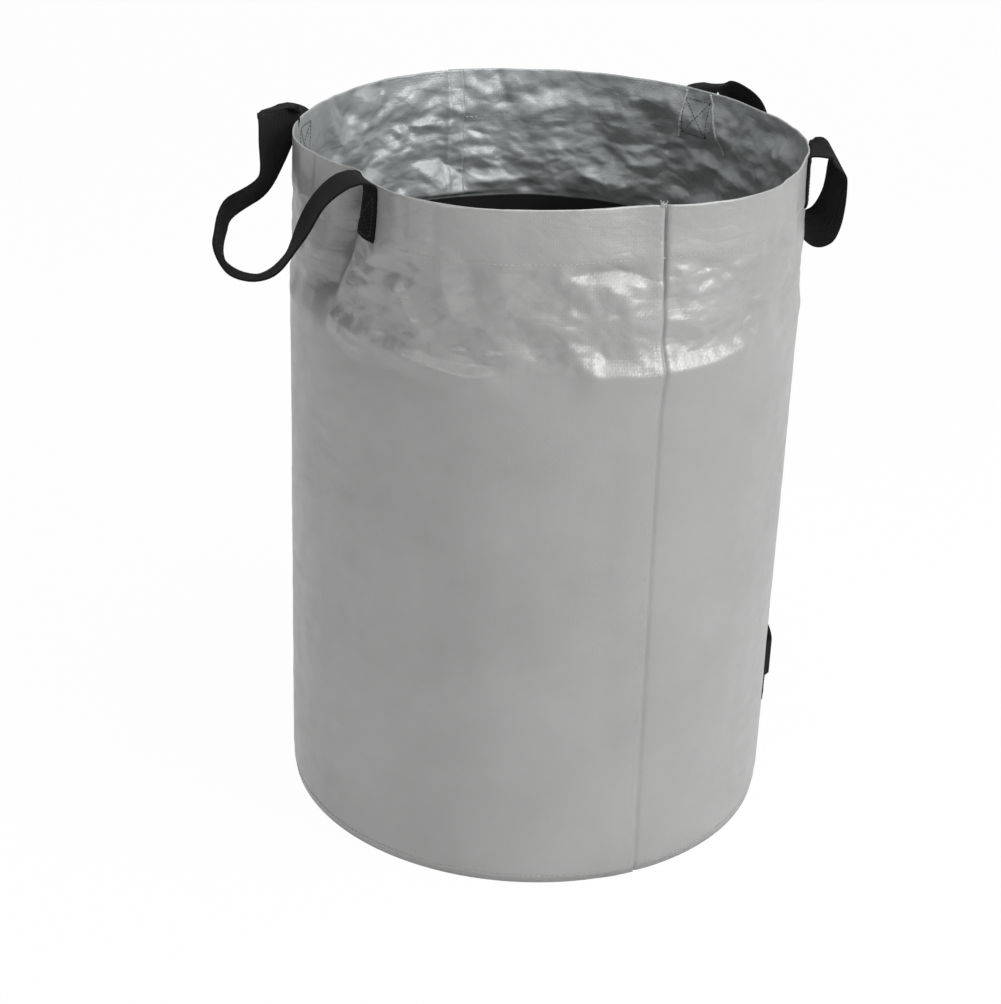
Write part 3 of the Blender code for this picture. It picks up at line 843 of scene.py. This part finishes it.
# %% Low handle
LOW_MIDDLE = 113.0
LOW_HEIGHT = 0.099
LOW_REACH = 27.0
LOW_SEWN = 20.0
LOW_TIP = 14.0


def low_rows():
    rows = []
    first = direction(LOW_MIDDLE - LOW_TIP) * 0.243
    last = direction(LOW_MIDDLE + LOW_TIP) * 0.243
    for step in range(round(2 * LOW_REACH) + 1):
        angle = step - LOW_REACH
        if abs(angle) < LOW_TIP:
            share = (angle + LOW_TIP) / (2 * LOW_TIP)
            base = first.lerp(last, share) + direction(LOW_MIDDLE) * 0.015 * (1 - (2 * share - 1) ** 2)
        else:
            share = max(0.0, (LOW_SEWN - abs(angle)) / (LOW_SEWN - LOW_TIP)) ** 2
            wall = cloth_place(LOW_MIDDLE + angle, LOW_HEIGHT).xy.length + 0.0010
            base = direction(LOW_MIDDLE + angle) * (wall + (0.243 - wall) * share)
        rows.append([Vector((base.x, base.y, LOW_HEIGHT + part * WEB_WIDTH / 2)) for part in ACROSS])
    return rows


low_strap = strap_piece("low_strap", low_rows(), (webbing,))
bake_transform(low_strap)
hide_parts("low_handle_front_end", "low_handle_loop", "low_handle_rear_end")

# %% [markdown]
# ## Stitching
# Thread shows as short, fat stitches that sink in at both ends. Each one is a small
# stretched ball, laid along its line on the cloth, with only a few dozen faces.

# %% Stitches
def stitch_row(shape, path, pitch, length, girth):
    """Lay stitches along a line of pairs: a place and the way out of the cloth there."""
    gone = 0.0
    wanted = pitch / 2
    spots = []
    for (a, out), (b, after) in zip(path, path[1:]):
        step = (b - a).length
        while wanted <= gone + step:
            share = (wanted - gone) / step
            ahead = (b - a).normalized()
            up = out.lerp(after, share).normalized()
            across = up.cross(ahead).normalized()
            turn = Matrix((ahead, across, up)).transposed().to_4x4()
            size = Matrix.Diagonal((length / 2, girth / 2, girth / 2.6, 1.0))
            spots.append(Matrix.Translation(a.lerp(b, share)) @ turn @ size)
            wanted += pitch
        gone += step
    for first in range(0, len(spots), 25):
        few = bmesh.new()
        for spot in spots[first:first + 25]:
            bmesh.ops.create_uvsphere(few, u_segments=6, v_segments=4, radius=1.0, matrix=spot)
        gathered = bpy.data.meshes.new("few_stitches")
        few.to_mesh(gathered)
        few.free()
        shape.from_mesh(gathered)
        bpy.data.meshes.remove(gathered)


def level_path(height, rise, out):
    """A line round the bag that stands a little higher at the right than at the left."""
    path = []
    for angle in range(361):
        level = height + rise * math.sin(math.radians(angle))
        path.append((cloth_place(angle, level, out), direction(angle)))
    return path


hem = bmesh.new()
stitch_row(hem, level_path(0.5885, 0.0035, 0.0004), 0.0046, 0.0037, 0.0007)
stitch_row(hem, level_path(0.5885, 0.0035, -0.0008), 0.0046, 0.0037, 0.0003)
hem_stitches = add_piece("hem_stitches", hem, (grey_thread,))
foot = bmesh.new()
stitch_row(foot, level_path(0.0085, 0.0, 0.0006), 0.0050, 0.0038, 0.0008)
base_stitches = add_piece("base_stitches", foot, (grey_thread,))
for piece in (hem_stitches, base_stitches):
    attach(piece, "bag")

# %% Seam stitches
def seam_path(seam, back, out):
    path = []
    for step in range(150):
        height = 0.006 + 0.622 * step / 149
        angle = seam - back
        angle += seam_lean(angle, height)
        path.append((cloth_place(angle, height, out), direction(angle)))
    return path


seams = bmesh.new()
for seam in (FRONT_SEAM, FRONT_SEAM + 180.0):
    stitch_row(seams, seam_path(seam, 1.3, 0.0010), 0.0042, 0.0033, 0.0005)
seam_stitches = add_piece("seam_stitches", seams, (grey_thread,))
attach(seam_stitches, "bag")

# %% Boxes with crosses on the straps' sewn ends
def box_lines():
    """Corner pairs of a stitched box and its cross, across from -1 to 1 and up from 0 to 1."""
    left, right, low, high = -0.78, 0.78, 0.08, 0.82
    corners = [(left, low), (right, low), (right, high), (left, high)]
    return list(zip(corners, corners[1:] + corners[:1])) + [
        ((left, low), (right, high)), ((left, high), (right, low))]


def sewn_box(shape, middle, out, girth, outward=1.0):
    for (x0, y0), (x1, y1) in box_lines():
        path = []
        for step in range(13):
            share = step / 12
            across = x0 + (x1 - x0) * share
            height = 0.585 + 0.046 * (y0 + (y1 - y0) * share)
            angle = middle + across * math.degrees(WEB_WIDTH / 2 / 0.226)
            path.append((cloth_place(angle, height, out), direction(angle) * outward))
        stitch_row(shape, path, 0.0034, 0.0028, girth)


dark = bmesh.new()
for middle in LEFT_ENDS + RIGHT_ENDS:
    sewn_box(dark, middle, 0.0023, 0.0008)
    sewn_box(dark, middle, -0.0014, 0.0009, -1.0)
for side in (-1.0, 1.0):
    for (x0, y0), (x1, y1) in box_lines():
        path = []
        for step in range(13):
            share = step / 12
            angle = LOW_MIDDLE + side * (23.6 + 3.3 * (x0 + (x1 - x0) * share))
            height = LOW_HEIGHT + 0.019 * (2 * (y0 + (y1 - y0) * share) - 0.9)
            path.append((cloth_place(angle, height, 0.0021), direction(angle)))
        stitch_row(dark, path, 0.0034, 0.0027, 0.0008)
strap_stitches = add_piece("strap_stitches", dark, (black_thread,))
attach(strap_stitches, "bag")

# %% [markdown]
# Beside the box at the back lie two rows of thick pale thread. The front seam's corner is
# frayed: a few loose strands stand up from the rim.

# %% Pale thread and frayed strands
# Two rows of thick pale thread beside the box at the back, each a list of angle and height.
PALE_ROWS = (((144.7, 0.630), (145.2, 0.608), (146.0, 0.584)), ((137.2, 0.631), (134.6, 0.604), (131.7, 0.577)))
STRANDS = ((-0.0022, 0.3, 0.0050), (-0.0012, -0.2, 0.0062), (-0.0004, 0.1, 0.0055), (0.0006, -0.4, 0.0048),
           (0.0013, 0.35, 0.0058), (0.0021, -0.1, 0.0042))

pale = bmesh.new()
for pale_row in PALE_ROWS:
    line = [Vector((angle, height)) for angle, height in pale_row]
    path = []
    for step in range(25):
        share = step / 24 * (len(line) - 1)
        first = min(int(share), len(line) - 2)
        angle, height = line[first].lerp(line[first + 1], share - first)
        path.append((cloth_place(angle, height, -0.0014), -direction(angle)))
    stitch_row(pale, path, 0.0016, 0.0026, 0.0028)
for aside, lean, tall in STRANDS:
    angle = FRONT_SEAM - 0.8 + math.degrees(aside / 0.22)
    foot_place = cloth_place(angle, 0.6315, 0.0006)
    tip = Vector((lean, -0.3 * lean, 1.0)).normalized()
    bmesh.ops.create_cone(pale, cap_ends=True, segments=5, radius1=0.0007, radius2=0.0002, depth=tall,
                          matrix=Matrix.Translation(foot_place + tip * tall / 2)
                          @ tip.to_track_quat("Z", "Y").to_matrix().to_4x4())
pale_threads = add_piece("pale_threads", pale, (grey_thread,))
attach(pale_threads, "bag")

# %% [markdown]
# ## Cloth pieces
# The two wall sheets and the base are real pieces of cloth.

# %% Cloth pieces
print("two wall sheets and a base of cloth")

# %% [markdown]
# ## Studio
# The bag stands on a white floor that runs up into a white backdrop. Both are as bright as
# white paper to the camera, by the light path and not by more light, and keep a faint shadow.
# A broad lamp above and to the right gives the soft fall of light across the wall.

# %% Floor and backdrop
def white_paper():
    finish, tree, shader = new_finish("white_paper")
    shader.inputs["Base Color"].default_value = (0.80, 0.80, 0.80, 1.0)
    shader.inputs["Roughness"].default_value = 0.9
    rays = add_node(tree, "LightPath")
    seen = math_node(tree, "MAXIMUM", rays.outputs["Is Camera Ray"], rays.outputs["Is Glossy Ray"])
    seen = math_node(tree, "MAXIMUM", seen, rays.outputs["Is Transmission Ray"])
    glow = add_node(tree, "Emission", {}, Color=(1.0, 1.0, 1.0, 1.0), Strength=1.0)
    mixed = add_node(tree, "MixShader", {}, i0=math_node(tree, "MULTIPLY", seen, 0.975),
                     i1=shader.outputs[0], i2=glow.outputs[0])
    tree.links.new(mixed.outputs[0], tree.nodes["Material Output"].inputs["Surface"])
    return finish


def studio_floor():
    shape = bmesh.new()
    corners = [shape.verts.new((x, -4.0, 0.0)) for x in (-5.0, 5.0)]
    edges = [shape.edges.new(corners)]
    for y, z in ((2.0, 0.0), (2.6, 0.12), (3.0, 0.5), (3.1, 1.0), (3.1, 4.5)):
        grown = bmesh.ops.extrude_edge_only(shape, edges=edges)["geom"]
        edges = [item for item in grown if isinstance(item, bmesh.types.BMEdge)]
        for vertex in (item for item in grown if isinstance(item, bmesh.types.BMVert)):
            vertex.co.y, vertex.co.z = y, z
    return add_piece("studio_floor", shape, (white_paper(),), outward=False)


studio_floor()
world = bpy.data.worlds.new("studio")
bpy.context.scene.world = world
world.use_nodes = True
sky = world.node_tree
rays = add_node(sky, "LightPath")
seen = math_node(sky, "MAXIMUM", rays.outputs["Is Camera Ray"], rays.outputs["Is Transmission Ray"])
strength = remap(sky, seen, 0.0, 1.0, 0.23, 1.0)
sky.links.new(strength, sky.nodes["Background"].inputs["Strength"])
sky.nodes["Background"].inputs["Color"].default_value = (1.0, 1.0, 1.0, 1.0)

# %% Lamps
def soft_lamp(name, place, target, size, power):
    lamp = bpy.data.lights.new(name, "AREA")
    lamp.shape = "RECTANGLE"
    lamp.size, lamp.size_y = size
    lamp.energy = power
    thing = bpy.data.objects.new(name, lamp)
    thing.location = place
    thing.rotation_mode = "QUATERNION"
    thing.rotation_quaternion = (Vector(target) - Vector(place)).to_track_quat("-Z", "Y")
    bpy.context.scene.collection.objects.link(thing)


soft_lamp("key_lamp", (2.3, -1.5, 1.9), (0.0, 0.0, 0.35), (1.4, 1.8), 64.0)
soft_lamp("top_lamp", (0.3, -0.3, 2.4), (0.0, 0.05, 0.4), (1.2, 1.0), 28.0)
soft_lamp("front_lamp", (-1.8, -2.0, 1.5), (-0.1, 0.0, 0.45), (0.4, 0.4), 10.0)
bpy.context.scene.view_settings.view_transform = "Standard"
print("three soft lamps")

# %% The json module
import json
